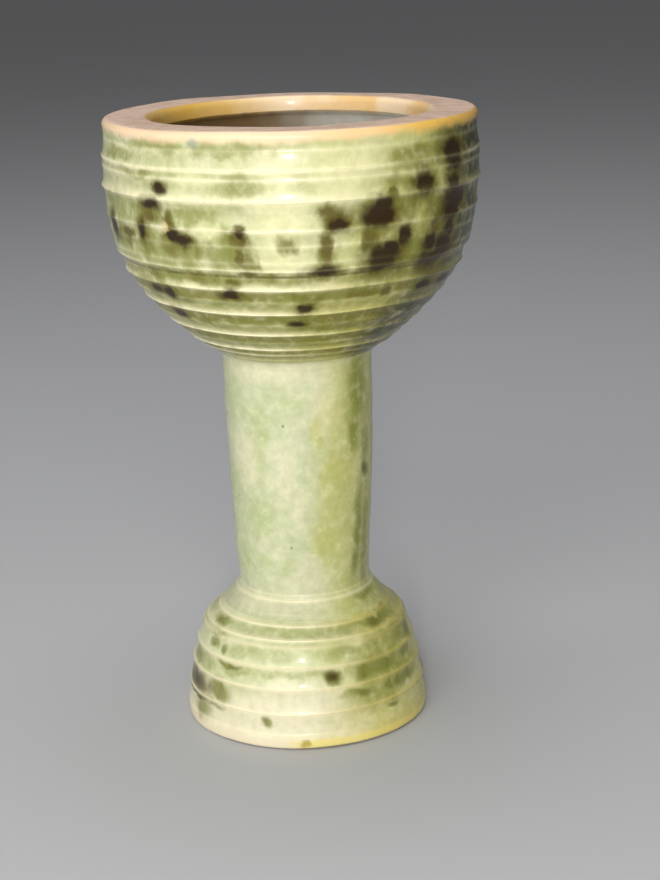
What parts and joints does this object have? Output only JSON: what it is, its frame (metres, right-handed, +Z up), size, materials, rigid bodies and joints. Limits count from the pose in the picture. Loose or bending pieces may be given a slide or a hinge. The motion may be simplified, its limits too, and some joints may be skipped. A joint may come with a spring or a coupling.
{
  "type": "communion chalice",
  "caption": "Hand-thrown ceramic chalice: a ridged round bowl with a thick flat rim, on a plain hollow stem and a ridged bell foot.",
  "frame": {"origin": "centre of the foot ring, on the surface that the chalice stands on", "axes": "+Z up along the chalice's axis, towards the rim; +X and +Y across, with the glaze's largest dark spots on the -Y side"},
  "size_m": [0.0988, 0.0988, 0.165],
  "materials": {
    "bowl_glaze": "glossy celadon glaze, cream on the throwing ridges, mottled green, with dark iron-brown spots; bare pinkish-tan rim",
    "stem_glaze": "glossy pale celadon glaze with soft green patches",
    "foot_glaze": "glossy celadon glaze, cream on the ridges, green and dark brown patches, amber at the base edge",
    "joint_slip": "matt fired slip, unglazed"
  },
  "bodies": {
    "root": {"bowl": "bowl_glaze", "bowl_joint_slip": "joint_slip", "stem": "stem_glaze", "foot_joint_coil": "stem_glaze", "foot_joint_slip": "joint_slip", "foot": "foot_glaze"}
  },
  "joints": []
}
